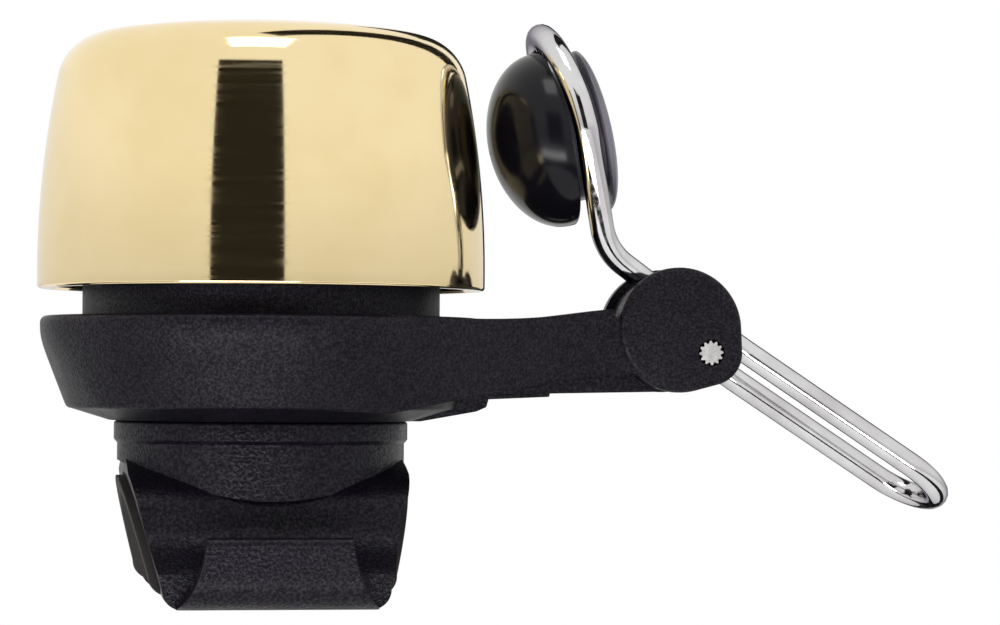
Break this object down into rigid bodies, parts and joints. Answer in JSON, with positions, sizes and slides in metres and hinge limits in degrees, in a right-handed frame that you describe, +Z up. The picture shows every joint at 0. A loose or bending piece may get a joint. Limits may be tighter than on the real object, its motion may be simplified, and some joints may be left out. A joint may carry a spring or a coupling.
{
  "type": "bicycle bell",
  "caption": "Compact brass dome bicycle bell on a swivelling handlebar saddle, with a sprung wire thumb lever and knob hammer.",
  "frame": {"origin": "centre of the handlebar that the saddle sits on", "axes": "+X along the handlebar, and along the arm towards the thumb lever as pictured; +Z up through the swivel and the dome; -Y faces the viewer"},
  "size_m": [0.0834, 0.04, 0.052],
  "materials": {
    "saddle_plastic": "fine grain",
    "pad_rubber": "matt",
    "wave_steel": "spring steel",
    "thrust_nylon": "smooth",
    "swivel_steel": "zinc plated",
    "base_plastic": "fine grain",
    "drum_plastic": "smooth",
    "drum_washer_steel": "zinc plated",
    "post_steel": "zinc plated",
    "dome_brass": "mirror polish",
    "bush_nylon": "smooth",
    "dome_washer_steel": "zinc plated",
    "dome_screw_steel": "zinc plated",
    "hub_near_plastic": "smooth",
    "hub_far_plastic": "smooth",
    "wire_chrome": "bright plated",
    "striker_gloss": "gloss",
    "striker_back_gloss": "gloss",
    "spring_steel": "spring wire",
    "pin_steel": "bright splined end"
  },
  "bodies": {
    "saddle": {"bar_saddle": "saddle_plastic", "saddle_pad": "pad_rubber", "wave_washer": "wave_steel", "thrust_washer": "thrust_nylon"},
    "bell": {"base_arm": "base_plastic", "mount_drum": "drum_plastic", "drum_washer": "drum_washer_steel", "mounting_post": "post_steel", "swivel_screw": "swivel_steel", "bell_dome": "dome_brass", "dome_bush": "bush_nylon", "dome_washer": "dome_washer_steel", "dome_screw": "dome_screw_steel", "pivot_pin": "pin_steel", "return_spring": "spring_steel"},
    "hammer": {"hammer_hub_near": "hub_near_plastic", "hammer_hub_far": "hub_far_plastic", "hammer_wire": "wire_chrome", "striker_cap": "striker_gloss", "striker_back": "striker_back_gloss"}
  },
  "joints": [
    {"name": "mount_swivel", "type": "hinge", "parent": "saddle", "child": "bell", "pos_m": [0, 0, 0.0191], "axis": [0, 0, 1], "continuous": true},
    {"name": "hammer_pivot", "type": "hinge", "parent": "bell", "child": "hammer", "pos_m": [0.0402, 0, 0.0254], "axis": [0, 1, 0], "range_deg": [-3, 40], "stiffness_Nm_per_rad": 0.04, "deforming": ["return_spring"]}
  ]
}
